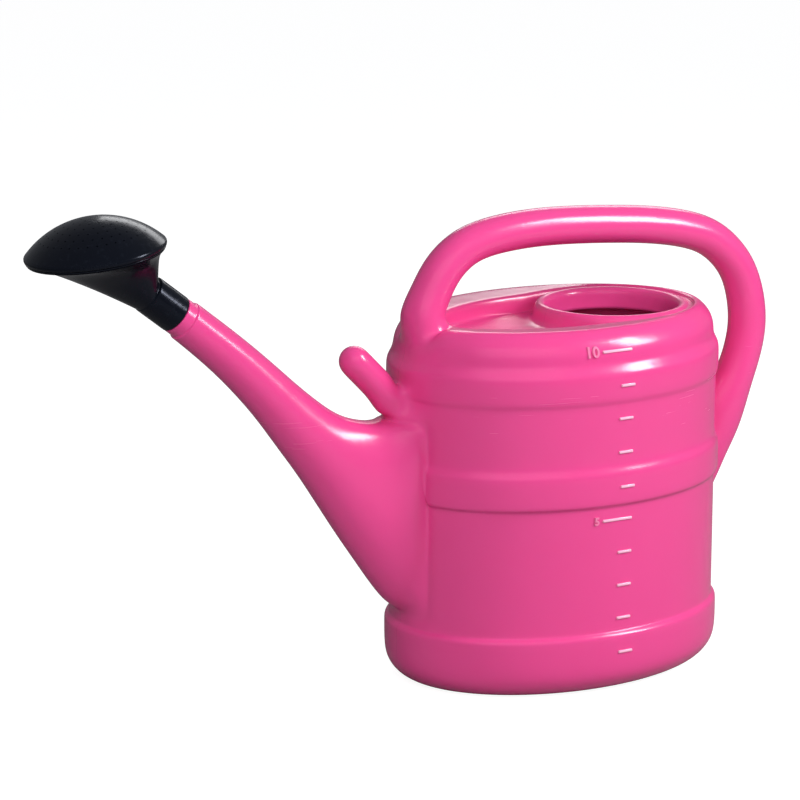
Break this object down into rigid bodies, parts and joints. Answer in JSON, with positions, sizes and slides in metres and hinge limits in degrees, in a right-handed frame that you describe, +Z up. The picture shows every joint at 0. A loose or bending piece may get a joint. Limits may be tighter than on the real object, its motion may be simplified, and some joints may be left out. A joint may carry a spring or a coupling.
{
  "type": "watering can",
  "caption": "Oval blow-moulded watering can with a recessed filling mouth, loop handle, long spout, parking peg and a turning, push-on sprinkler rose with a snap-off perforated face.",
  "frame": {"origin": "centre of the tank's flat base, on the surface that the can stands on", "axes": "+Z up, +X towards the handle end, -X towards the spout and rose, +Y to the can's left side when looking along +X"},
  "size_m": [0.6237, 0.2016, 0.3829],
  "materials": {
    "pink_plastic": "glossy blow-moulded polyethylene",
    "black_plastic": "glossy injection-moulded black plastic"
  },
  "bodies": {
    "can": {"tank": "pink_plastic", "tank_deck": "pink_plastic", "handle": "pink_plastic", "spout": "pink_plastic", "rose_peg": "pink_plastic"},
    "rose": {"rose_shell": "black_plastic"},
    "face": {"rose_face": "black_plastic"}
  },
  "joints": [
    {"name": "rose_turn", "type": "hinge", "parent": "can", "child": "rose", "pos_m": [-0.318, 0, 0.3073], "axis": [-0.7826, 0, 0.6225], "continuous": true},
    {"name": "face_pull", "type": "slide", "parent": "rose", "child": "face", "axis": [-0.1305, 0, 0.9914], "range_m": [0, 0.03]}
  ]
}
